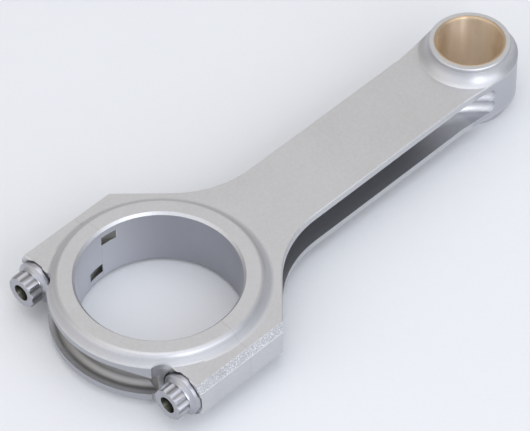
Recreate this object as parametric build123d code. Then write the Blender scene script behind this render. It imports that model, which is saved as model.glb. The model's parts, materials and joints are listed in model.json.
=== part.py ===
from build123d import *
from math import sqrt
import os

# Automotive connecting rod of the H-beam pattern, in millimetres.
# Origin: centre of the big-end bore, at the middle of its width.
# +X runs along the rod to the small end, +Z along the crank axis.
# The cap meets the rod on the plane X = 0, and its bolts enter from -X.

# ---- driving dimensions ----
CENTRES = 152.4            # crank bore centre to wrist-pin bore centre
BORE_R = 28.26             # big-end housing bore
BIG_HALF = 11.7            # half width of the big end, thrust face to thrust face
BOSS_R = 35.2              # where the thrust face would meet the slope below it
BOSS_EDGE = 2.2            # that edge is rounded to this radius
BOSS_FOOT_R = 36.85        # where the slope would meet the flanks
BOSS_FILLET = 3.0          # turned fillet at the slope's foot
BOSS_OUT_R = 38.9          # just outside that fillet
BORE_CHAMFER = 0.9
PLATE_HALF = 8.1           # half thickness of the shoulders and of the beam
FINE_CHAMFER = 0.35        # broken edges
SHOULDER_Y = 43.1          # half width across the bolt shoulders
SHOULDER_FACE_HALF = 4.9   # half height of the shoulder's upright side face
SHOULDER_BEVEL_Y = 1.7     # how far the steep bevel above that face leans in
LOWER_BEVEL_Y = 4.3        # how far the flatter bevel below it leans in
SHOULDER_RUN = 58.2        # x + y on the 45 degree back of the shoulder
THROAT_R = 38.0            # concave sweep from the shoulder into the beam

BEAM_Y = 15.5              # half width of the beam
CHANNEL_HALF = 5.3         # half height of the side channels
WEB_Y = 3.2                # half thickness of the web between the channels
CHANNEL_CORNER = 1.6       # fillet where web and flange meet
CHANNEL_START_R = 33.0     # plan radius of the channel's floor beside the big end
CHANNEL_START_X = 62.0     # where that floor becomes straight
CHANNEL_END_R = 32.0       # radius of the cutter that runs out beside the small end
CHANNEL_END_X = 121.8      # where that run-out begins
CHANNEL_END_DIP = 0.15     # how far that cutter bites below the flat floor
LOBE_Z = 2.65              # two stacked lobes of the run-out cutter
LOBE_R = 3.0

SMALL_HALF = 13.9          # half width of the small end
SMALL_FACE_R = 14.6        # outer edge of its face
SMALL_WALL_R = 17.1        # outer wall of the eye
SMALL_FILLET = 5.8         # turned fillet from the face down to the beam
TAPER_X = 133.0            # where the beam's edge turns towards the eye

BUSH_R = 12.75
PIN_R = 11.77              # wrist-pin bore of the bush
BUSH_HALF = 13.65
BUSH_CHAMFER = 0.35

RIM_R = 37.9               # outer radius of the cap
CAP_END_X = -23.3          # end face of the cap's shoulders
SEAT_X = -22.7             # floor of the bolt spotfaces
SPOT_R = 8.4
NOTCH_R = 4.6              # relief between a shoulder and the cap's rim
NOTCH_X = -27.8
NOTCH_Y = 29.8
GROOVE_R = 33.4            # floor of the groove between the cap's two ribs
GROOVE_TOP = 5.6
GROOVE_LOW = -5.1
GROOVE_CORNER = 2.4        # fillet at the groove's floor
GROOVE_FLAT_X = -25.6      # beside the bolts the floor is a flat at this X
GROOVE_BEND_Y = 14.0       # from here out the groove's top edge curves down
GROOVE_SPAN = 29.0         # ... down to GROOVE_END_Z at this Y
GROOVE_END_Z = 0.5

BOLT_Y = 35.2              # bolt axes at Y = +/- this, Z = 0
CAP_HOLE_R = 5.75
TAPPED_R = 5.62            # plain bore just over the thread's crest
SLEEVE_R = 6.25            # alignment sleeve round each bolt
SLEEVE_BORE_R = 5.78
SLEEVE_HALF = 4.0
SLEEVE_FIT = 0.05          # radial clearance of the sleeve in the cap
SLEEVE_END_GAP = 0.3

BOLT_LENGTH = 38.1         # under the head
SHANK_R = 5.5
SHANK_LEAD = 4.5           # full-size shank just under the head
NECK_R = 4.85
NECK_END = 16.0            # waisted part, measured from the seat
NECK_BLEND = 1.0
THREAD_R = 5.55
THREAD_DEPTH = 0.78
THREAD_TIP = 0.9
PITCH = 1.27
FLANK = 0.40 * PITCH
ROOT_FLAT = 0.12 * PITCH
CREST_FLAT = 0.08 * PITCH
THREAD_START_X = 3.2
WASHER_R = 7.2             # raised seat under the flange
WASHER_T = 0.3
FLANGE_R = 7.7
FLANGE_T = 1.8
FLANGE_EDGE = 0.25
CONE_R = 6.0
CONE_T = 1.7
HEAD_T = 8.3               # seat to the end of the head
HEAD_FLATS = 10.7          # across flats of each of its two hexagons
HEAD_POINTS_R = 6.1        # its points are turned down to this
HEAD_TURN = 12.0           # degrees from a point straight out to the side
HEAD_EDGE = 0.45
HEAD_ROOT = 0.4            # how far the head's flutes run on past the cone's top
RECESS_R = 3.15            # dimple in the end of the head
RECESS_MOUTH = 0.8
RECESS_FLOOR_R = 2.4
RECESS_DEPTH = 2.6
RECESS_POINT = 0.5

TANG_Z = 6.4               # middle of each bearing-tang slot, +Z in the rod, -Z in the cap
TANG_WIDTH = 3.8
TANG_RUN = 6.6             # how far a slot runs round from the parting plane
TANG_DEPTH = 1.25          # its depth at the parting plane
TANG_OFFSET = 1.0          # how far past the parting plane the slot's cutter stood

REACH = 400.0              # longer than the whole rod, for cutting blocks
PAST = 1.0                 # how far a cutting body stands past the face that it cuts
NEAR = 0.01                # tolerance for finding edges by place


def slab(x0, x1):
    """A block that keeps everything between two planes of constant X."""
    return Pos((x0 + x1) / 2, 0, 0) * Box(x1 - x0, REACH, REACH)


def upright(radius, half, x=0.0, y=0.0):
    """A cylinder along Z, centred on Z = 0."""
    return Pos(x, y, 0) * Cylinder(radius, 2 * half)


def along_x(radius, x0, x1, y):
    """A cylinder along X from x0 to x1, on Z = 0."""
    return Pos((x0 + x1) / 2, y, 0) * Rot(0, 90, 0) * Cylinder(radius, x1 - x0)


def spun(points, x=0.0, y=0.0):
    """A body turned about the Z axis from (radius, height) points, closed along the axis."""
    face = Plane.XZ * make_face(Polyline(*points, close=True))
    return Pos(x, y, 0) * revolve(face, Axis.Z, 360)


def hollow_fillet(radius, r_in, z_top, x=0.0):
    """The ring of material under a concave fillet, above and below the flanks."""
    r_out, z_low = r_in + radius, z_top - radius
    arc = CenterArc((r_out, z_top), radius, 180, 90)
    sides = Polyline((r_out, z_low), (r_out, 0), (r_in, 0), (r_in, z_top))
    half = Plane.XZ * make_face([*arc.edges(), *sides.edges()])
    ring = revolve(half, Axis.Z, 360)
    return Pos(x, 0, 0) * (ring + mirror(ring, Plane.XY))


def boss():
    """The big end's turned centre: thrust faces and the slopes round them, without the bore."""
    slope = [(BOSS_R, BIG_HALF), (BOSS_FOOT_R, PLATE_HALF), (BOSS_OUT_R, PLATE_HALF)]
    section = make_face(Polyline((0, 0), (0, BIG_HALF), *slope, (BOSS_OUT_R, 0), close=True))
    section = fillet(section.vertices().filter_by(lambda v: abs(v.X - BOSS_R) < NEAR), BOSS_EDGE)
    section = fillet(section.vertices().filter_by(lambda v: abs(v.X - BOSS_FOOT_R) < NEAR), BOSS_FILLET)
    half = revolve(Plane.XZ * section, Axis.Z, 360)
    return half + mirror(half, Plane.XY)


def bore_cut():
    """The crank bore with the chamfer at each mouth."""
    r, c, top = BORE_R, BORE_CHAMFER, BIG_HALF
    half = [(0, 0), (r, 0), (r, top - c), (r + 2 * c, top + c), (0, top + c)]
    cut = spun(half)
    return cut + mirror(cut, Plane.XY)


def shoulder_section(x0, x1):
    """The shoulders' cross-section, with the steep bevels along their sides."""
    y0, y1, y2 = SHOULDER_Y, SHOULDER_Y - SHOULDER_BEVEL_Y, SHOULDER_Y - LOWER_BEVEL_Y
    z0, z1 = SHOULDER_FACE_HALF, PLATE_HALF
    points = [(y0, z0), (y1, z1), (-y1, z1), (-y0, z0), (-y0, -z0), (-y2, -z1), (y2, -z1), (y0, -z0)]
    face = Plane.YZ * make_face(Polyline(*points, close=True))
    return Pos(x0, 0, 0) * extrude(face, x1 - x0)


def tangent_point():
    """Where the beam's edge, turned slightly out at TAPER_X, touches the eye's wall."""
    dx, dy = CENTRES - TAPER_X, -BEAM_Y
    reach = sqrt(dx * dx + dy * dy)
    along = sqrt(reach * reach - SMALL_WALL_R ** 2)
    ux, uy = dx / reach, dy / reach
    side = SMALL_WALL_R / reach
    run = along / reach
    return TAPER_X + along * (ux * run - uy * side), BEAM_Y + along * (uy * run + ux * side)


def rod_outline():
    """The rod seen along Z, from just past the parting plane to the end of the eye."""
    corner_x = SHOULDER_RUN - BEAM_Y
    edge = [(-PAST, SHOULDER_Y), (SHOULDER_RUN - SHOULDER_Y, SHOULDER_Y), (corner_x, BEAM_Y),
            (TAPER_X, BEAM_Y), tangent_point()]
    under = [(x, -y) for x, y in reversed(edge)]
    face = make_face(Polyline(*edge, *under, close=True))
    throats = face.vertices().filter_by(lambda v: abs(v.X - corner_x) < NEAR)
    return fillet(throats, THROAT_R) + Pos(CENTRES, 0) * Circle(SMALL_WALL_R)


def small_end(outline):
    """The eye: its faces, turned fillets and wall, kept inside the rod's outline."""
    lip = chamfer(upright(SMALL_FACE_R, SMALL_HALF).edges().filter_by(GeomType.CIRCLE), FINE_CHAMFER)
    sweep = hollow_fillet(SMALL_FILLET, SMALL_FACE_R - FINE_CHAMFER / 2, SMALL_HALF - FINE_CHAMFER)
    return (Pos(CENTRES, 0, 0) * (lip + sweep)) & extrude(outline, SMALL_HALF, both=True)


def channel_pocket():
    """The +Y channel along the web, its floor swept out to the shoulder at the big end."""
    start_y = WEB_Y + CHANNEL_START_R
    floor = Line((CHANNEL_START_X, WEB_Y), (CHANNEL_END_X, WEB_Y))
    sweep = CenterArc((CHANNEL_START_X, start_y), CHANNEL_START_R, 180, 90)
    near_x = CHANNEL_START_X - CHANNEL_START_R
    rest = Polyline((CHANNEL_END_X, WEB_Y), (CHANNEL_END_X, start_y), (near_x, start_y))
    plan = make_face([*floor.edges(), *sweep.edges(), *rest.edges()])
    pocket = extrude(plan, CHANNEL_HALF, both=True)
    rims = pocket.edges().filter_by(lambda e: abs(e.center().Z) > CHANNEL_HALF - NEAR)
    inner = rims.filter_by(lambda e: e.center().Y < start_y / 2 and e.center().X < CHANNEL_END_X - NEAR)
    return fillet(inner, CHANNEL_CORNER)


def channel_run_out():
    """The lobed cutter's disc, which ends the +Y channel in a curved ramp at the small end."""
    root = CHANNEL_END_R - LOBE_R + sqrt(LOBE_R ** 2 - LOBE_Z ** 2)
    top = 2 * LOBE_Z
    lower = ThreePointArc((root, -top), (CHANNEL_END_R, -LOBE_Z), (root, 0))
    upper = ThreePointArc((root, 0), (CHANNEL_END_R, LOBE_Z), (root, top))
    back = Polyline((root, top), (0, top), (0, -top), (root, -top))
    profile = make_face([*lower.edges(), *upper.edges(), *back.edges()])
    centre_y = WEB_Y + CHANNEL_END_R - CHANNEL_END_DIP
    return Pos(CHANNEL_END_X, centre_y, 0) * revolve(Plane.XZ * profile, Axis.Z, 360)


def tang_slot(direction):
    """The notch for a bearing shell's tang, on the +Y side of the parting plane."""
    x_end = -TANG_RUN * direction
    y_end = sqrt(BORE_R ** 2 - TANG_RUN ** 2)
    y_deep = BORE_R + TANG_DEPTH
    x_c = TANG_OFFSET * direction
    rise = (x_end - x_c) ** 2 - x_c ** 2
    y_c = (y_deep ** 2 - y_end ** 2 - rise) / (2 * (y_deep - y_end))
    radius = sqrt(x_c ** 2 + (y_deep - y_c) ** 2)
    z = -TANG_Z * direction
    return Pos(x_c, y_c, z) * Cylinder(radius, TANG_WIDTH)


def rod_body():
    """The forging: big-end half, shoulders, H-section beam and eye."""
    outline = rod_outline()
    plate = extrude(outline, PLATE_HALF, both=True)
    rims = plate.edges().filter_by(lambda e: abs(e.center().Z) > PLATE_HALF - NEAR and e.center().X > 0)
    plate = chamfer(rims, FINE_CHAMFER) & shoulder_section(-PAST, CENTRES + SMALL_WALL_R + PAST)
    body = plate + boss() + small_end(outline)
    body &= slab(0, REACH)
    for cut in (channel_pocket(), channel_run_out()):
        body = body - cut - mirror(cut, Plane.XZ)
    for side in (1, -1):
        y = side * BOLT_Y
        body -= along_x(TAPPED_R, -PAST, SHOULDER_RUN, y)
        body -= along_x(SLEEVE_R, -PAST, SLEEVE_HALF, y)
    body -= bore_cut()
    body -= upright(BUSH_R, SMALL_HALF + PAST, CENTRES)
    body -= tang_slot(-1) & slab(0, REACH)
    return body


def cap_groove():
    """The cutter for the groove between the cap's ribs."""
    outer = RIM_R + PAST
    middle = (GROOVE_TOP + GROOVE_LOW) / 2
    face = Pos((GROOVE_R + outer) / 2, middle) * Rectangle(outer - GROOVE_R, GROOVE_TOP - GROOVE_LOW)
    corners = face.vertices().filter_by(lambda v: v.X < RIM_R)
    ring = revolve(Plane.XZ * fillet(corners, GROOVE_CORNER), Axis.Z, 360)
    bend, span, end_z = GROOVE_BEND_Y, GROOVE_SPAN, GROOVE_END_Z
    top = Line((-bend, GROOVE_TOP), (bend, GROOVE_TOP))
    right = TangentArc((bend, GROOVE_TOP), (span, end_z), tangent=(1, 0))
    left = TangentArc((-bend, GROOVE_TOP), (-span, end_z), tangent=(-1, 0))
    sides = Polyline((span, end_z), (span, GROOVE_LOW), (-span, GROOVE_LOW), (-span, end_z))
    window = make_face([*top.edges(), *right.edges(), *sides.edges(), *left.edges()])
    return ring & (Pos(GROOVE_FLAT_X, 0, 0) * extrude(Plane.YZ * window, -RIM_R))


def bearing_cap():
    """The cap: two ribs round the bore and a shoulder for each bolt."""
    core = boss() & upright(RIM_R, BIG_HALF)
    rims = core.faces().filter_by(GeomType.CYLINDER).sort_by(lambda f: f.area)[-1].edges()
    core = chamfer(rims.filter_by(GeomType.CIRCLE), FINE_CHAMFER)
    shoulders = shoulder_section(CAP_END_X, PAST)
    ends = shoulders.edges().filter_by(lambda e: abs(e.center().X - CAP_END_X) < NEAR)
    shoulders = chamfer(ends, FINE_CHAMFER)
    cap = (core + shoulders) & slab(-REACH, 0)
    cap -= cap_groove()
    for side in (1, -1):
        y = side * BOLT_Y
        cap -= upright(NOTCH_R, PLATE_HALF + PAST, NOTCH_X, side * NOTCH_Y)
        cap -= along_x(SPOT_R, -REACH, SEAT_X, y)
        cap -= along_x(CAP_HOLE_R, -REACH, PAST, y)
        cap -= along_x(SLEEVE_R + SLEEVE_FIT, -SLEEVE_HALF - SLEEVE_END_GAP, PAST, y)
    cap -= bore_cut()
    cap -= tang_slot(1) & slab(-REACH, 0)
    return cap


def small_end_bush():
    """Bronze bush pressed into the eye."""
    tube = upright(BUSH_R, BUSH_HALF, CENTRES) - upright(PIN_R, BUSH_HALF + PAST, CENTRES)
    mouths = tube.edges().filter_by(GeomType.CIRCLE).filter_by(lambda e: e.radius < (PIN_R + BUSH_R) / 2)
    return chamfer(mouths, BUSH_CHAMFER)


def dowel_sleeve(side):
    """Thin alignment sleeve round a bolt, half in the rod and half in the cap."""
    y = side * BOLT_Y
    past = SLEEVE_HALF + PAST
    tube = along_x(SLEEVE_R, -SLEEVE_HALF, SLEEVE_HALF, y) - along_x(SLEEVE_BORE_R, -past, past, y)
    rims = tube.edges().filter_by(GeomType.CIRCLE).filter_by(lambda e: e.radius > SLEEVE_R - NEAR)
    return chamfer(rims, (SLEEVE_R - SLEEVE_BORE_R) / 3)


def shank_profile():
    """Half section of the bolt below its head: (distance from the seat, radius)."""
    start = THREAD_START_X - SEAT_X
    root = THREAD_R - THREAD_DEPTH
    points = [(0, SHANK_R), (SHANK_LEAD, SHANK_R), (SHANK_LEAD + NECK_BLEND, NECK_R),
              (NECK_END, NECK_R), (NECK_END + NECK_BLEND, SHANK_R), (start, SHANK_R)]
    turns = int((BOLT_LENGTH - start - PITCH) / PITCH)
    for turn in range(turns):
        s = start + turn * PITCH
        points += [(s + FLANK, root), (s + FLANK + ROOT_FLAT, root),
                   (s + PITCH - CREST_FLAT, THREAD_R), (s + PITCH, THREAD_R)]
    return points + [(BOLT_LENGTH - THREAD_TIP, THREAD_R), (BOLT_LENGTH, root)]


def cap_bolt(side):
    """Twelve-point flange bolt, head towards -X."""
    flange_s = -(WASHER_T + FLANGE_T)
    cone_s = flange_s - CONE_T
    flange = [(flange_s, FLANGE_R - FLANGE_EDGE), (flange_s + FLANGE_EDGE, FLANGE_R), (-WASHER_T, FLANGE_R)]
    under = [(-WASHER_T, WASHER_R), (0, WASHER_R), *shank_profile(), (BOLT_LENGTH, 0)]
    line = [(SEAT_X + s, r) for s, r in [(cone_s, 0), (cone_s, CONE_R), *flange, *under]]
    body = revolve(make_face(Polyline(*line, close=True)), Axis.X, 360)

    hexagon = RegularPolygon(HEAD_FLATS / 2, 6, major_radius=False)
    star = Rot(0, 0, HEAD_TURN) * (hexagon + Rot(0, 0, 30) * hexagon)
    end_x = SEAT_X - HEAD_T
    root_x = SEAT_X + flange_s - HEAD_ROOT
    head = Pos(end_x, 0, 0) * extrude(Plane.YZ * star, root_x - end_x)
    barrel = along_x(HEAD_POINTS_R, end_x, root_x, 0)
    crown = chamfer(barrel.edges().filter_by(lambda e: abs(e.center().X - end_x) < NEAR), HEAD_EDGE)

    floor_x = end_x + RECESS_DEPTH
    hollow = [(end_x - PAST, 0), (end_x - PAST, RECESS_R + RECESS_MOUTH), (end_x, RECESS_R),
              (floor_x, RECESS_FLOOR_R), (floor_x + RECESS_POINT, 0)]
    dimple = revolve(make_face(Polyline(*hollow, close=True)), Axis.X, 360)
    bolt = body + (head & crown) - dimple
    return Pos(0, side * BOLT_Y, 0) * bolt


os.makedirs("parts", exist_ok=True)
PARTS = {
    "rod_body": rod_body(),
    "bearing_cap": bearing_cap(),
    "small_end_bush": small_end_bush(),
    "cap_bolt_left": cap_bolt(1),
    "cap_bolt_right": cap_bolt(-1),
    "dowel_sleeve_left": dowel_sleeve(1),
    "dowel_sleeve_right": dowel_sleeve(-1),
}
for name, shape in PARTS.items():
    solids = shape.solids()
    export_step(solids[0] if len(solids) == 1 else Compound(children=solids), f"parts/{name}.step")
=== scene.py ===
import json
from math import cos, pi, radians, sin

import bpy
from mathutils import Matrix, Vector


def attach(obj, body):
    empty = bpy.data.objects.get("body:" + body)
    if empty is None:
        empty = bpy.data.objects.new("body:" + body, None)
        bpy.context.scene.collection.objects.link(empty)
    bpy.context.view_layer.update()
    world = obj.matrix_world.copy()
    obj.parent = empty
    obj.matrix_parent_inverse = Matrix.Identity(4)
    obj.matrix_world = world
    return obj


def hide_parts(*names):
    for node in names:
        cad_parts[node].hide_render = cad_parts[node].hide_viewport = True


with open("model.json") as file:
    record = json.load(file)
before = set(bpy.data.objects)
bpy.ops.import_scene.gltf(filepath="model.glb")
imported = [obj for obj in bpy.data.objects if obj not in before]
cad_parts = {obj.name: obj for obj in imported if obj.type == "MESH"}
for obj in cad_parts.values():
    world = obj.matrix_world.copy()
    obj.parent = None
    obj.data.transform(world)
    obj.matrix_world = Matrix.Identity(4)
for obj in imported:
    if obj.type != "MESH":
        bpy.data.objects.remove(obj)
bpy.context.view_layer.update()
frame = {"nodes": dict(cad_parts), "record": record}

# A connecting rod, in metres. The frame's origin is the centre of the crank bore:
# +X runs to the small end and +Z along the bores.

MM = 0.001


def mount(name):
    """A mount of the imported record."""
    return next(m for m in frame["record"]["mounts"] if m["name"] == name)


# ---- places and sizes, from the frame where it states them ----
CENTRES = mount("small_end_bore")["pos_m"][0]
BORE_R = mount("big_end_bore")["dims"]["r_mm"] * MM
BIG_HALF = mount("thrust_face_top")["pos_m"][2]
SMALL_HALF = mount("small_end_face_top")["pos_m"][2]
BOLT_Y = 35.2 * MM            # the bolts' axes, each side of the middle
PLATE_HALF = 8.1 * MM         # half thickness of the shoulders and the beam
EYE_FACE_R = 14.6 * MM        # outer edge of the small end's face
FACE_WIDTH = 5.7 * MM         # width of the thrust face round the crank bore

# ---- the slope round the thrust face: a rounded edge above a fillet ----
FACE_FLAT_R = 33.8 * MM       # where the edge's rounding starts
FACE_EDGE = 2.2 * MM          # its radius
FOOT_OUT_R = 38.76 * MM       # where the fillet runs out into the flanks
FOOT_FILLET = 3.0 * MM        # its radius
STEEPEST = 0.906              # sine of the steepest part's tilt
EYE_FILLET = 5.8 * MM         # radius of the fillet round the small end's face
EYE_FOOT_R = 20.4 * MM        # where that fillet runs out
CHAMFER_LEAN = 0.707          # sine of 45 degrees
MARK_PITCH = 0.3 * MM         # lathe marks on both slopes


# ---------------------------------------------------------------- node helpers
class Graph:
    """A material's node tree, with short calls for the nodes used here."""

    def __init__(self, name):
        self.material = bpy.data.materials.new(name)
        self.material.use_nodes = True
        self.tree = self.material.node_tree
        self.tree.nodes.clear()
        self.shader = self.add("ShaderNodeBsdfPrincipled")
        output = self.add("ShaderNodeOutputMaterial")
        self.link(self.shader.outputs["BSDF"], output.inputs["Surface"])
        self.place = self.add("ShaderNodeTexCoord").outputs["Object"]
        split = self.add("ShaderNodeSeparateXYZ")
        self.link(self.place, split.inputs[0])
        self.x, self.y, self.z = split.outputs

    def add(self, kind, **settings):
        node = self.tree.nodes.new(kind)
        for key, value in settings.items():
            setattr(node, key, value)
        return node

    def link(self, source, target):
        if isinstance(source, (int, float, tuple)):
            target.default_value = source
        else:
            self.tree.links.new(source, target)

    def math(self, operation, a, b=0.0):
        node = self.add("ShaderNodeMath", operation=operation)
        for value, socket in zip((a, b), node.inputs):
            self.link(value, socket)
        return node.outputs[0]

    def ramp(self, value, low, high, out_low=0.0, out_high=1.0):
        """value taken smoothly from low..high to out_low..out_high, and held beyond."""
        node = self.add("ShaderNodeMapRange", interpolation_type="SMOOTHSTEP")
        for amount, socket in zip((value, low, high, out_low, out_high), node.inputs):
            self.link(amount, socket)
        return node.outputs[0]

    def clamped(self, value, unit, top):
        """value in units, held between 0 and top."""
        return self.math("MINIMUM", self.math("MAXIMUM", self.math("DIVIDE", value, unit), 0.0), top)

    def times(self, *values):
        """The values multiplied together."""
        product = values[0]
        for value in values[1:]:
            product = self.math("MULTIPLY", product, value)
        return product

    def band(self, value, low, high, soft):
        """1 between low and high, fading to 0 over soft on each side."""
        rise = self.ramp(value, low - soft, low)
        fall = self.ramp(value, high, high + soft, 1.0, 0.0)
        return self.times(rise, fall)

    def mix(self, amount, a, b):
        node = self.add("ShaderNodeMix", data_type="RGBA")
        self.link(amount, node.inputs["Factor"])
        colour_in = [s for s in node.inputs if s.type == "RGBA"]
        self.link(a, colour_in[0])
        self.link(b, colour_in[1])
        return next(s for s in node.outputs if s.type == "RGBA")

    def blend(self, amount, a, b):
        """Two numbers mixed."""
        node = self.add("ShaderNodeMix", data_type="FLOAT")
        self.link(amount, node.inputs["Factor"])
        number_in = [s for s in node.inputs if s.type == "VALUE"][1:]
        self.link(a, number_in[0])
        self.link(b, number_in[1])
        return node.outputs[0]

    def noise(self, scale, detail=2.0, vector=None, roughness=0.5):
        node = self.add("ShaderNodeTexNoise")
        self.link(vector or self.place, node.inputs["Vector"])
        node.inputs["Scale"].default_value = scale
        node.inputs["Detail"].default_value = detail
        node.inputs["Roughness"].default_value = roughness
        return node.outputs[0]

    def stretched(self, x, y, z):
        """Object coordinates scaled along each axis."""
        node = self.add("ShaderNodeMapping")
        self.link(self.place, node.inputs["Vector"])
        node.inputs["Scale"].default_value = (x, y, z)
        return node.outputs[0]

    def radius(self, centre_x):
        """Distance from an axis along Z."""
        return self.length(self.math("SUBTRACT", self.x, centre_x), self.y)

    def length(self, a, b):
        """Length of a two-part vector."""
        return self.math("SQRT", self.math("ADD", self.times(a, a), self.times(b, b)))

    def from_bolt(self):
        """Distance from the nearer bolt's axis."""
        off = self.math("SUBTRACT", self.math("ABSOLUTE", self.y), BOLT_Y)
        return self.length(off, self.z)

    def round_tangent(self, centre_x):
        """The direction round an axis along Z, which the anisotropic highlights follow."""
        joined = self.add("ShaderNodeCombineXYZ")
        self.link(self.math("MULTIPLY", self.y, -1.0), joined.inputs[0])
        self.link(self.math("SUBTRACT", self.x, centre_x), joined.inputs[1])
        self.link(joined.outputs[0], self.shader.inputs["Tangent"])
        self.shader.inputs["Anisotropic Rotation"].default_value = 0.25

    def turned(self, centre_x, pitch):
        """Noise that only changes with the distance from an axis and with height, as lathe marks do."""
        r = self.radius(centre_x)
        joined = self.add("ShaderNodeCombineXYZ")
        self.link(r, joined.inputs[0])
        self.link(self.z, joined.inputs[1])
        return self.noise(1.0 / pitch, 2.0, joined.outputs[0])

    def lathe_normal(self, outward, centre_x):
        """Exact normal of a surface turned about a Z axis, from how far it leans outward (-1 to 1)."""
        r = self.radius(centre_x)
        lean = self.math("DIVIDE", outward, r)
        rest = self.math("SQRT", self.math("SUBTRACT", 1.0, self.times(outward, outward)))
        joined = self.add("ShaderNodeCombineXYZ")
        self.link(self.times(lean, self.math("SUBTRACT", self.x, centre_x)), joined.inputs[0])
        self.link(self.times(lean, self.y), joined.inputs[1])
        self.link(self.times(rest, self.math("SIGN", self.z)), joined.inputs[2])
        turn = self.add("ShaderNodeVectorTransform", vector_type="NORMAL")
        turn.convert_from = "OBJECT"
        turn.convert_to = "WORLD"
        self.link(joined.outputs[0], turn.inputs[0])
        return turn.outputs[0]

    def choose_normal(self, amount, a, b):
        """Two normals mixed."""
        node = self.add("ShaderNodeMix", data_type="VECTOR")
        self.link(amount, node.inputs["Factor"])
        vector_in = [s for s in node.inputs if s.type == "VECTOR"]
        self.link(a, vector_in[-2])
        self.link(b, vector_in[-1])
        return next(s for s in node.outputs if s.type == "VECTOR")

    def bump(self, height, distance, strength=1.0, after=None):
        node = self.add("ShaderNodeBump")
        node.inputs["Strength"].default_value = strength
        node.inputs["Distance"].default_value = distance
        self.link(height, node.inputs["Height"])
        if after is not None:
            self.link(after, node.inputs["Normal"])
        return node.outputs[0]

    def finish(self, colour, roughness, normal=None, metallic=1.0):
        self.link(colour, self.shader.inputs["Base Color"])
        self.link(roughness, self.shader.inputs["Roughness"])
        self.shader.inputs["Metallic"].default_value = metallic
        if normal is not None:
            self.link(normal, self.shader.inputs["Normal"])
        return self.material


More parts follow.
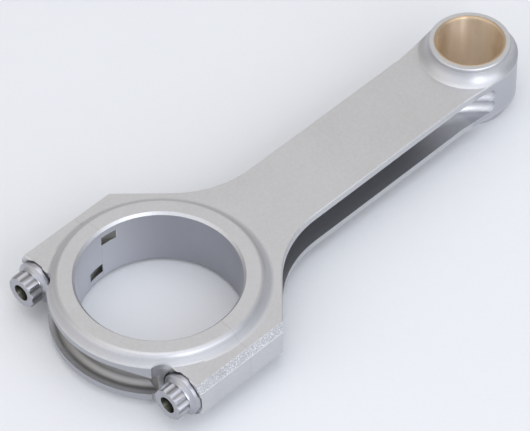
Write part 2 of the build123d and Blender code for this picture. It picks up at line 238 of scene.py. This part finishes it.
# ---------------------------------------------------------------- steel of the rod and its cap
class RodGraph(Graph):
    """The rod's surfaces as masks: 1 on the surface named and 0 elsewhere."""

    def __init__(self, name):
        super().__init__(name)
        self.big = self.radius(0.0)
        self.small = self.radius(CENTRES)
        self.up = self.math("ABSOLUTE", self.z)
        self.out = self.math("ABSOLUTE", self.y)
        self.raised = self.ramp(self.up, 8.0 * MM, PLATE_HALF)
        self.in_cap = self.ramp(self.x, -14.0 * MM, -16.0 * MM)
        self.along_wall = self.band(self.up, -1.0, 10.75 * MM, 0.05 * MM)

    def big_slope(self):
        inner = self.ramp(self.big, 33.7 * MM, 34.4 * MM)
        outer = self.ramp(self.big, 38.7 * MM, 36.8 * MM)
        return self.times(inner, outer, self.raised)

    def small_slope(self):
        inner = self.ramp(self.small, 14.3 * MM, EYE_FACE_R)
        outer = self.ramp(self.small, 20.3 * MM, 16.5 * MM)
        return self.times(inner, outer, self.raised)

    def bore(self):
        return self.times(self.ramp(self.big, 28.35 * MM, 28.3 * MM), self.along_wall)

    def bore_chamfer(self):
        inside = self.ramp(self.big, 30.1 * MM, 30.0 * MM)
        return self.times(inside, self.band(self.up, 10.82 * MM, 11.67 * MM, 0.02 * MM))

    def tang_slot_shade(self):
        return self.times(self.band(self.big, 28.36 * MM, 30.0 * MM, 0.04 * MM), self.along_wall)

    def eye_wall_shade(self):
        beyond_beam = self.ramp(self.x, 136.0 * MM, 139.0 * MM)
        outside = self.ramp(self.small, 16.6 * MM, 16.9 * MM)
        return self.times(beyond_beam, outside, self.ramp(self.up, 8.0 * MM, 7.0 * MM))

    def cap_groove_shade(self):
        floor_and_sides = self.band(self.big, 30.0 * MM, 35.6 * MM, 1.2 * MM)
        return self.times(floor_and_sides, self.band(self.up, -1.0, 5.7 * MM, 0.1 * MM), self.in_cap)

    def cap_rim_shade(self):
        outside = self.ramp(self.big, 37.6 * MM, 37.8 * MM)
        inside = self.ramp(self.big, 38.2 * MM, 38.0 * MM)
        return self.times(outside, inside, self.in_cap, self.ramp(self.up, 8.0 * MM, 7.8 * MM))

    def bolt_relief_shade(self):
        near_bolt = self.ramp(self.from_bolt(), 10.0 * MM, 7.8 * MM)
        below_top = self.ramp(self.up, 8.0 * MM, 7.7 * MM)
        past_seat = self.ramp(self.x, -22.65 * MM, -22.75 * MM)
        inner_side = self.ramp(self.out, 34.5 * MM, 32.5 * MM)
        return self.times(near_bolt, below_top, past_seat, inner_side)

    def parting_seam(self):
        return self.ramp(self.math("ABSOLUTE", self.x), 0.12 * MM, 0.04 * MM, 0.0, 0.3)

    def milled_bevel(self):
        sideways = self.ramp(self.out, 41.2 * MM, 41.3 * MM)
        return self.times(sideways, self.band(self.z, 4.95 * MM, 7.9 * MM, 0.1 * MM))

    def bevel_edge_highlight(self):
        at_side = self.ramp(self.out, 42.85 * MM, 43.0 * MM)
        return self.times(at_side, self.band(self.z, 4.8 * MM, 5.0 * MM, 0.12 * MM), 0.7)

    def channels(self):
        between_flanges = self.band(self.up, -1.0, 5.32 * MM, 0.05 * MM)
        beyond_bore = self.ramp(self.big, 29.0 * MM, 29.6 * MM)
        starting = self.ramp(self.x, 27.0 * MM, 30.0 * MM)
        fading_out = self.ramp(self.x, 133.0 * MM, 108.0 * MM)
        return self.times(between_flanges, beyond_bore, starting, fading_out)

    def true_normal(self):
        """The surface's normal, exactly round on what was turned: the bore, its chamfer and both slopes."""
        bore = self.bore()
        chamfer = self.bore_chamfer()
        edge_lean = self.clamped(self.math("SUBTRACT", self.big, FACE_FLAT_R), FACE_EDGE, STEEPEST)
        foot_lean = self.clamped(self.math("SUBTRACT", FOOT_OUT_R, self.big), FOOT_FILLET, STEEPEST)
        inward = self.math("ADD", bore, self.times(chamfer, CHAMFER_LEAN))
        outward = self.math("SUBTRACT", self.math("MINIMUM", edge_lean, foot_lean), inward)
        at_rim = self.ramp(self.big, 37.5 * MM, 37.55 * MM)
        rim_chamfer = self.times(at_rim, self.ramp(self.x, -14.0 * MM, -14.1 * MM))
        on_slope = self.times(self.band(self.big, FACE_FLAT_R, FOOT_OUT_R, 0.02 * MM),
                              self.math("SUBTRACT", 1.0, rim_chamfer),
                              self.ramp(self.up, 8.02 * MM, 8.05 * MM))
        at_big = self.math("MAXIMUM", on_slope, self.math("MAXIMUM", bore, chamfer))
        eye_lean = self.clamped(self.math("SUBTRACT", EYE_FOOT_R, self.small), EYE_FILLET, 0.99)
        at_small = self.times(self.ramp(self.up, 8.12 * MM, 8.2 * MM),
                              self.band(self.small, 14.7 * MM, EYE_FOOT_R, 0.05 * MM))
        flat = self.add("ShaderNodeNewGeometry").outputs["Normal"]
        normal = self.choose_normal(at_big, flat, self.lathe_normal(outward, 0.0))
        return self.choose_normal(at_small, normal, self.lathe_normal(eye_lean, CENTRES))


def blasted_steel():
    """Fine bead-blasted steel with turned slopes, painted shade in its hollows and on some walls, and a
    painted highlight along the bevel's edge.
    """
    g = RodGraph("blasted_steel")
    big_slope = g.big_slope()
    small_slope = g.small_slope()
    turned = g.math("MAXIMUM", big_slope, small_slope)
    bevel = g.milled_bevel()
    channels = g.channels()
    # the blasted skin
    low = g.noise(45.0, 3.0)
    speck = g.noise(900.0, 4.0, roughness=0.7)
    colour = g.mix(low, (0.585, 0.585, 0.60, 1), (0.635, 0.635, 0.65, 1))
    colour = g.mix(g.ramp(speck, 0.35, 0.65, 0.0, 0.35), colour, (0.70, 0.70, 0.715, 1))
    # what differs from it, surface by surface, mostly painted shade
    rag = g.noise(1500.0, 2.0)
    flecks = g.noise(2300.0, 2.0)
    # painted shade and reflection on the bore's wall: dark overall, lighter towards the cap
    bore_painted_shading = g.mix(g.ramp(g.x, 25.0 * MM, 0.0), (0.40, 0.405, 0.44, 1), (0.63, 0.64, 0.68, 1))
    surfaces = [
        (g.times(turned, 0.45), (0.50, 0.50, 0.52, 1)),
        (g.bore(), bore_painted_shading),
        # painted shade in the tang slots
        (g.tang_slot_shade(), (0.24, 0.24, 0.22, 1)),
        # painted shade on the small end's outer wall
        (g.eye_wall_shade(), (0.52, 0.53, 0.56, 1)),
        # painted shade in the cap's groove
        (g.cap_groove_shade(), (0.33, 0.325, 0.32, 1)),
        # painted shade on the cap's outer rim
        (g.cap_rim_shade(), (0.46, 0.465, 0.49, 1)),
        # painted shadow in the gap between the bolts' flanges and the cap
        (g.bolt_relief_shade(), (0.13, 0.13, 0.135, 1)),
        (g.parting_seam(), (0.22, 0.22, 0.22, 1)),
        (g.times(bevel, g.ramp(rag, 0.35, 0.65)), (0.50, 0.50, 0.52, 1)),
        (g.times(bevel, g.ramp(flecks, 0.54, 0.66)), (0.93, 0.93, 0.96, 1)),
        # painted highlight along the edge where the side face meets the bevel
        (g.bevel_edge_highlight(), (0.92, 0.92, 0.94, 1)),
        # painted shade in the channels, fading out where they run out near the small end
        (channels, (0.39, 0.395, 0.41, 1)),
    ]
    for mask, tone in surfaces:
        colour = g.mix(mask, colour, tone)
    # roughness: even where turned, rougher in the channels and at the big slope's foot
    rough = g.blend(turned, g.ramp(low, 0.3, 0.7, 0.40, 0.46), 0.43)
    rough = g.blend(channels, rough, 0.5)
    rough = g.blend(g.times(big_slope, g.ramp(g.big, 35.4 * MM, 36.2 * MM)), rough, 0.66)
    # lathe marks run round the nearer bore, and spread the light across them
    nearer_small = g.ramp(g.x, 90.0 * MM, 91.0 * MM)
    g.round_tangent(g.times(nearer_small, CENTRES))
    g.link(g.times(turned, 0.4), g.shader.inputs["Anisotropic"])
    big_marks = g.times(g.turned(0.0, MARK_PITCH), big_slope)
    small_marks = g.times(g.turned(CENTRES, MARK_PITCH), small_slope)
    normal = g.bump(g.math("ADD", big_marks, small_marks), 0.02 * MM, 0.5, g.true_normal())
    normal = g.bump(g.times(rag, bevel), 0.1 * MM, 0.5, normal)
    normal = g.bump(g.noise(2600.0, 3.0), 0.05 * MM, 0.35, normal)
    return g.finish(colour, rough, normal)


# ---------------------------------------------------------------- other materials
def bronze():
    """Honed bronze, with fine marks round the bore and a darker mouth at each end."""
    g = Graph("honed_bronze")
    marks = g.noise(1.0, 2.0, g.stretched(60.0, 60.0, 4000.0))
    patch = g.noise(1.0, 2.0, g.stretched(260.0, 260.0, 60.0))
    colour = g.mix(marks, (0.88, 0.74, 0.58, 1), (0.97, 0.86, 0.71, 1))
    colour = g.mix(g.ramp(patch, 0.35, 0.65, 0.0, 0.35), colour, (0.76, 0.60, 0.43, 1))
    mouth = g.ramp(g.math("ABSOLUTE", g.z), 13.25 * MM, 13.35 * MM)
    colour = g.mix(mouth, colour, (0.66, 0.50, 0.34, 1))
    g.round_tangent(CENTRES)
    g.shader.inputs["Anisotropic"].default_value = 0.92
    return g.finish(colour, g.ramp(marks, 0.3, 0.7, 0.40, 0.46), g.bump(marks, 0.02 * MM, 0.3))


def bolt_steel():
    """Smooth heat-treated bolt steel with a thin film of oil, with painted shade in the head's recess and
    between its points.
    """
    g = Graph("bolt_steel")
    low = g.noise(300.0, 3.0)
    colour = g.mix(low, (0.41, 0.41, 0.44, 1), (0.50, 0.50, 0.54, 1))
    reach = g.from_bolt()
    behind_end = g.ramp(g.x, -30.95 * MM, -30.85 * MM)    # all but the head's end face
    # painted shade in the head's recess
    recess = g.times(g.ramp(reach, 3.2 * MM, 3.08 * MM), behind_end)
    colour = g.mix(recess, colour, (0.12, 0.12, 0.10, 1))
    beside_flange = g.ramp(g.x, -26.0 * MM, -26.5 * MM)
    # painted shade between the head's twelve points
    flute_shade = g.times(g.band(reach, 4.0 * MM, 5.5 * MM, 0.25 * MM), behind_end, beside_flange)
    colour = g.mix(flute_shade, colour, (0.28, 0.28, 0.28, 1))
    normal = g.bump(g.noise(1500.0, 2.0), 0.02 * MM, 0.2)
    return g.finish(colour, g.ramp(low, 0.3, 0.7, 0.27, 0.35), normal)


def ground_steel():
    """Ground sleeve steel."""
    g = Graph("ground_steel")
    marks = g.noise(1.0, 2.0, g.stretched(4000.0, 60.0, 60.0))
    colour = g.mix(marks, (0.50, 0.50, 0.50, 1), (0.62, 0.62, 0.62, 1))
    return g.finish(colour, g.ramp(marks, 0.3, 0.7, 0.2, 0.3), g.bump(marks, 0.02 * MM, 0.4))


def paper():
    """The pale floor."""
    g = Graph("floor_paper")
    cloud = g.noise(9.0, 3.0)
    colour = g.mix(cloud, (0.73, 0.74, 0.76, 1), (0.77, 0.78, 0.80, 1))
    return g.finish(colour, 0.7, g.bump(g.noise(900.0, 3.0), 0.3 * MM, 0.25), metallic=0.0)


def clothe(material, *nodes):
    """Gives CAD nodes a material."""
    for name in nodes:
        for place in frame["nodes"][name].material_slots:
            place.material = material


clothe(blasted_steel(), "rod_body", "bearing_cap")
clothe(bronze(), "small_end_bush")
clothe(ground_steel(), "dowel_sleeve_left", "dowel_sleeve_right")


# ---------------------------------------------------------------- bolts
# Sizes in millimetres, as the bolts' rows are
SEAT_X = -22.7                # the face that the flange rests on
HEAD_FLATS = 10.6             # across the flats of each of the head's two hexagons
CREST = 6.05                  # radius that the twelve points are turned down to
HEAD_TURN = radians(12)       # how far round the head stopped when tightened
HEAD = 8.3                    # from the seat to the end of the head
LENGTH = 38.1                 # from the seat to the thread's tip
THREAD_FROM = 16.0
THREAD_R = 5.55
THREAD_DEPTH = 0.78
PITCH = 1.27
ROWS_A_TURN = 10
COLUMNS = 144
SHARP = radians(28)           # edges bent more than this stay sharp


def star(angle):
    """Radius of the twelve-point head, two hexagons turned 30 degrees apart, in millimetres."""
    turned = [(angle - HEAD_TURN + start) % (pi / 3) - pi / 6 for start in (0, pi / 6)]
    return min(CREST, max(HEAD_FLATS / 2 / cos(t) for t in turned))


def crown(limit):
    """The star turned down to a limit."""
    return lambda angle: min(star(angle), limit)


def thread(s):
    """One row of a right-hand thread that fades in from the neck and ends in a chamfer."""
    fade = min(1.0, (s - THREAD_FROM) / 1.2)
    tip = THREAD_R - max(0.0, s - LENGTH + 0.9)

    def radius(angle):
        turn = abs((s / PITCH - angle / (2 * pi)) % 1 - 0.5) * 2
        cut = THREAD_DEPTH * min(1.0, max(0.0, (turn - 0.1) / 0.78))
        return min(tip, THREAD_R - cut * fade)

    return radius


def bolt_profile():
    """Rows of (distance from the seat, radius) from the head's recess to the thread's tip."""
    end = -HEAD
    rows = [(end + 3.1, 0.01), (end + 2.6, 2.4), (end + 0.2, 3.06), (end + 0.06, 3.1), (end, 3.25)]
    rows += [(end, crown(5.62)), (end + 0.12, crown(5.78)), (end + 0.45, star), (-3.72, star)]
    rows += [(-3.7, 6.08), (-3.4, 6.2), (-3.05, 6.38), (-2.7, 6.65), (-2.4, 7.0), (-2.15, 7.38)]
    rows += [(-2.05, 7.55), (-1.95, 7.66), (-1.8, 7.7), (-0.45, 7.7)]
    rows += [(-0.3, 7.55), (-0.3, 7.2), (0.0, 7.2), (0.0, 5.5), (4.5, 5.5), (5.5, 4.85), (15.0, 4.85)]
    count = int((LENGTH - THREAD_FROM) / PITCH * ROWS_A_TURN)
    steps = [THREAD_FROM + i * PITCH / ROWS_A_TURN for i in range(count)]
    rows += [(s, thread(s)) for s in steps]
    return rows + [(LENGTH, 4.6), (LENGTH, 0.01)]


def bolt(name, side, node, body, material):
    """A closed, finely divided bolt in place of the plain one."""
    angles = [HEAD_TURN + 2 * pi * i / COLUMNS for i in range(COLUMNS)]
    points = []
    for s, radius in bolt_profile():
        for angle in angles:
            r = radius(angle) if callable(radius) else radius
            points.append((SEAT_X + s, side * BOLT_Y / MM + r * cos(angle), r * sin(angle)))
    rows = len(points) // COLUMNS
    faces = [(row * COLUMNS + i, row * COLUMNS + (i + 1) % COLUMNS,
              (row + 1) * COLUMNS + (i + 1) % COLUMNS, (row + 1) * COLUMNS + i)
             for row in range(rows - 1) for i in range(COLUMNS)]
    faces.append(tuple(reversed(range(COLUMNS))))
    faces.append(tuple(range((rows - 1) * COLUMNS, rows * COLUMNS)))
    mesh = bpy.data.meshes.new(name)
    mesh.from_pydata([tuple(c * MM for c in point) for point in points], [], faces)
    mesh.shade_smooth()
    mesh.set_sharp_from_angle(angle=SHARP)
    mesh.materials.append(material)
    piece = bpy.data.objects.new(name, mesh)
    bpy.context.scene.collection.objects.link(piece)
    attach(piece, body)
    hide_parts(node)


oiled = bolt_steel()
bolt("flange_bolt_left", 1, "cap_bolt_left", "bolt_left", oiled)
bolt("flange_bolt_right", -1, "cap_bolt_right", "bolt_right", oiled)


# ---------------------------------------------------------------- floor
def resting_plane():
    """The plane that the rod rests on, tipped by the thicker small end: (height at X = 0, slope along X)."""
    big_x = -BORE_R - FACE_WIDTH
    small_x = CENTRES - EYE_FACE_R
    slope = (-SMALL_HALF + BIG_HALF) / (small_x - big_x)
    return -BIG_HALF - slope * big_x, slope


def floor():
    height, slope = resting_plane()
    half = 3.0
    outline = ((-half, -half), (half, -half), (half, half), (-half, half))
    corners = [(x, y, height + slope * x) for x, y in outline]
    mesh = bpy.data.meshes.new("floor")
    mesh.from_pydata(corners, [], [(0, 1, 2, 3)])
    plane = bpy.data.objects.new("floor", mesh)
    bpy.context.scene.collection.objects.link(plane)
    mesh.materials.append(paper())


floor()


# ---------------------------------------------------------------- light
DAYLIGHT = (0.93, 0.96, 1.0)
BALANCE = Vector((CENTRES / 3, 0, 0))    # a point near the rod's middle


def area_light(name, azimuth, elevation, distance, size, power):
    """A soft panel that faces the rod. Azimuth 0 is the side of -Y."""
    a, e = radians(azimuth), radians(elevation)
    back = Vector((sin(a) * cos(e), -cos(a) * cos(e), sin(e)))
    light = bpy.data.lights.new(name, "AREA")
    light.shape = "RECTANGLE"
    light.size, light.size_y = size
    light.energy = power
    light.color = DAYLIGHT
    lamp = bpy.data.objects.new(name, light)
    lamp.location = BALANCE + back * distance
    lamp.rotation_euler = back.to_track_quat("Z", "Y").to_euler()
    bpy.context.scene.collection.objects.link(lamp)


area_light("window", azimuth=-1, elevation=29, distance=1.5, size=(1.45, 1.2), power=6.9)
area_light("bright_pane", azimuth=-23, elevation=27, distance=1.45, size=(0.22, 1.2), power=3.2)


def sky():
    """Plain studio surroundings: brighter overhead and towards -X, cool in front and warm behind."""
    world = bpy.data.worlds.new("studio")
    world.use_nodes = True
    tree = world.node_tree
    tree.nodes.clear()

    def node(kind, **settings):
        made = tree.nodes.new(kind)
        for key, value in settings.items():
            setattr(made, key, value)
        return made

    def wash(source, low, high, amount):
        made = node("ShaderNodeMapRange", interpolation_type="SMOOTHSTEP")
        tree.links.new(source, made.inputs[0])
        for value, socket in zip((low, high, 0.0, amount), made.inputs[1:5]):
            socket.default_value = value
        return made.outputs[0]

    def total(a, b):
        made = node("ShaderNodeMath", operation="ADD")
        tree.links.new(a, made.inputs[0])
        if isinstance(b, float):
            made.inputs[1].default_value = b
        else:
            tree.links.new(b, made.inputs[1])
        return made.outputs[0]

    place = node("ShaderNodeTexCoord")
    split = node("ShaderNodeSeparateXYZ")
    back = node("ShaderNodeBackground")
    out = node("ShaderNodeOutputWorld")
    tree.links.new(place.outputs["Generated"], split.inputs[0])
    base = 0.47
    upper = wash(split.outputs["Z"], low=0.05, high=0.75, amount=0.28)
    zenith = wash(split.outputs["Z"], low=0.82, high=1.0, amount=1.15)
    beyond_cap = wash(split.outputs["X"], low=-0.3, high=-1.0, amount=0.7)
    tree.links.new(total(total(total(upper, zenith), beyond_cap), base), back.inputs["Strength"])
    tint = node("ShaderNodeMix", data_type="RGBA")
    tree.links.new(wash(split.outputs["Y"], low=-0.3, high=0.4, amount=1.0), tint.inputs["Factor"])
    cool, warm = [socket for socket in tint.inputs if socket.type == "RGBA"]
    cool.default_value = (0.94, 0.97, 1.04, 1)
    warm.default_value = (1.0, 0.985, 0.965, 1)
    tree.links.new(next(socket for socket in tint.outputs if socket.type == "RGBA"), back.inputs["Color"])
    tree.links.new(back.outputs[0], out.inputs[0])
    bpy.context.scene.world = world


sky()


# ---------------------------------------------------------------- camera
def camera():
    """A long lens, looking down at the rod from beyond the cap."""
    azimuth = radians(-44.743)
    elevation = radians(47.138)
    roll = radians(-0.651)
    distance = 1.3487
    target = Vector((0.0516, 0.0016, 0))
    back = Vector((sin(azimuth) * cos(elevation), -cos(azimuth) * cos(elevation), sin(elevation)))
    right = Vector((cos(azimuth), sin(azimuth), 0))
    up = back.cross(right)
    right, up = cos(roll) * right + sin(roll) * up, cos(roll) * up - sin(roll) * right
    lens = bpy.data.cameras.new("camera")
    lens.sensor_width = 36
    lens.lens = 267.8
    lens.clip_start = 0.05
    seen = bpy.data.objects.new("camera", lens)
    facing = Matrix((right, up, back)).transposed().to_4x4()
    seen.matrix_world = Matrix.Translation(target + back * distance) @ facing
    bpy.context.scene.collection.objects.link(seen)
    bpy.context.scene.camera = seen
    bpy.context.scene.view_settings.view_transform = "Standard"


camera()
